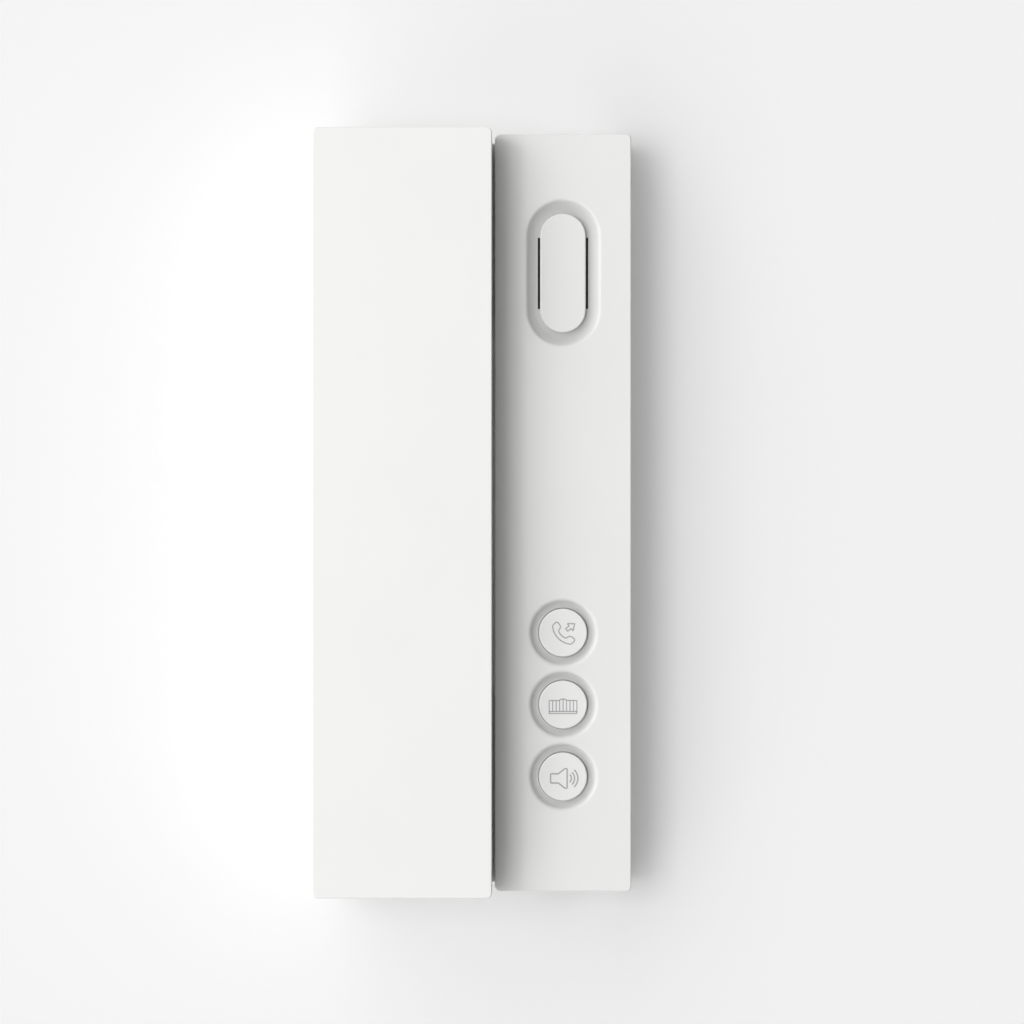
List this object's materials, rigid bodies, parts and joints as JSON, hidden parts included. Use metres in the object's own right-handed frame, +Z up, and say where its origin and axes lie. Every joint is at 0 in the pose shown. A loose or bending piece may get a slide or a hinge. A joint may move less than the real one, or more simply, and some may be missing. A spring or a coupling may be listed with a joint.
{
  "type": "audio intercom handset",
  "caption": "Wall-mounted audio intercom: a lift-off slab handset hung in a cradle beside a slim column with a slotted sound outlet and round push buttons in dished rings.",
  "frame": {"origin": "centre of the wall plate's flush-box slots, on the wall plane", "axes": "+X to the viewer's right, +Y into the wall, +Z up; the front faces -Y"},
  "size_m": [0.0834, 0.044, 0.2],
  "materials": {
    "white_plastic": "fine moulded grain, satin",
    "button_plastic": "fine satin",
    "black_plastic": "satin",
    "terminal_plastic": "satin",
    "circuit_board": "solder mask",
    "zinc_steel": "bright zinc",
    "ferrite": "ground",
    "black_mesh": "woven",
    "foam": "closed-cell foam",
    "cone_film": "formed film",
    "boot_rubber": "moulded"
  },
  "bodies": {
    "base": {"wall_plate": "white_plastic", "base_housing": "white_plastic", "case_screw": "zinc_steel", "main_board": "circuit_board", "board_screws": "zinc_steel", "button_switches": "black_plastic", "capacitors": "black_plastic", "controller_chip": "black_plastic", "board_connectors": "white_plastic", "terminal_block": "terminal_plastic", "terminal_screws": "zinc_steel", "base_jack": "black_plastic", "sound_mesh": "black_mesh", "ringer_gasket": "foam", "ringer_basket": "zinc_steel", "ringer_cone": "cone_film", "ringer_magnet": "ferrite", "ringer_screws": "zinc_steel", "hook_board": "circuit_board", "hook_board_screws": "zinc_steel", "hook_switch": "black_plastic", "hook_pin": "zinc_steel"},
    "handset": {"handset_front": "white_plastic", "handset_back": "white_plastic", "handset_screws": "zinc_steel", "receiver_gasket": "foam", "receiver_capsule": "black_plastic", "microphone_boot": "boot_rubber", "microphone_capsule": "zinc_steel", "handset_jack": "black_plastic"},
    "call_key": {"call_button": "button_plastic", "call_plunger": "boot_rubber"},
    "gate_key": {"gate_button": "button_plastic", "gate_plunger": "boot_rubber"},
    "volume_key": {"volume_button": "button_plastic", "volume_plunger": "boot_rubber"},
    "hook_arm": {"hook_lever": "button_plastic"},
    "hook_plunger": {"hook_switch_button": "button_plastic"}
  },
  "joints": [
    {"name": "handset_lift", "type": "slide", "parent": "base", "child": "handset", "axis": [0, -0.7071, 0.7071], "range_m": [0, 0.07]},
    {"name": "call_press", "type": "slide", "parent": "base", "child": "call_key", "axis": [0, 1, 0], "range_m": [0, 0.0006], "stiffness_N_per_m": 600, "springref_m": -0.001},
    {"name": "gate_press", "type": "slide", "parent": "base", "child": "gate_key", "axis": [0, 1, 0], "range_m": [0, 0.0006], "stiffness_N_per_m": 600, "springref_m": -0.001},
    {"name": "volume_press", "type": "slide", "parent": "base", "child": "volume_key", "axis": [0, 1, 0], "range_m": [0, 0.0006], "stiffness_N_per_m": 600, "springref_m": -0.001},
    {"name": "hook_swing", "type": "hinge", "parent": "base", "child": "hook_arm", "pos_m": [-0.00835, -0.0145, -0.078], "axis": [0, 0, 1], "range_deg": [0, 6]},
    {"name": "hook_plunge", "type": "slide", "parent": "base", "child": "hook_plunger", "axis": [0, -1, 0], "range_m": [0, 0.00104]}
  ],
  "couplings": [
    {"joint": "hook_swing", "follows": "handset_lift", "rad_per_m": 1.495},
    {"joint": "hook_plunge", "follows": "handset_lift", "ratio": 0.01485}
  ]
}
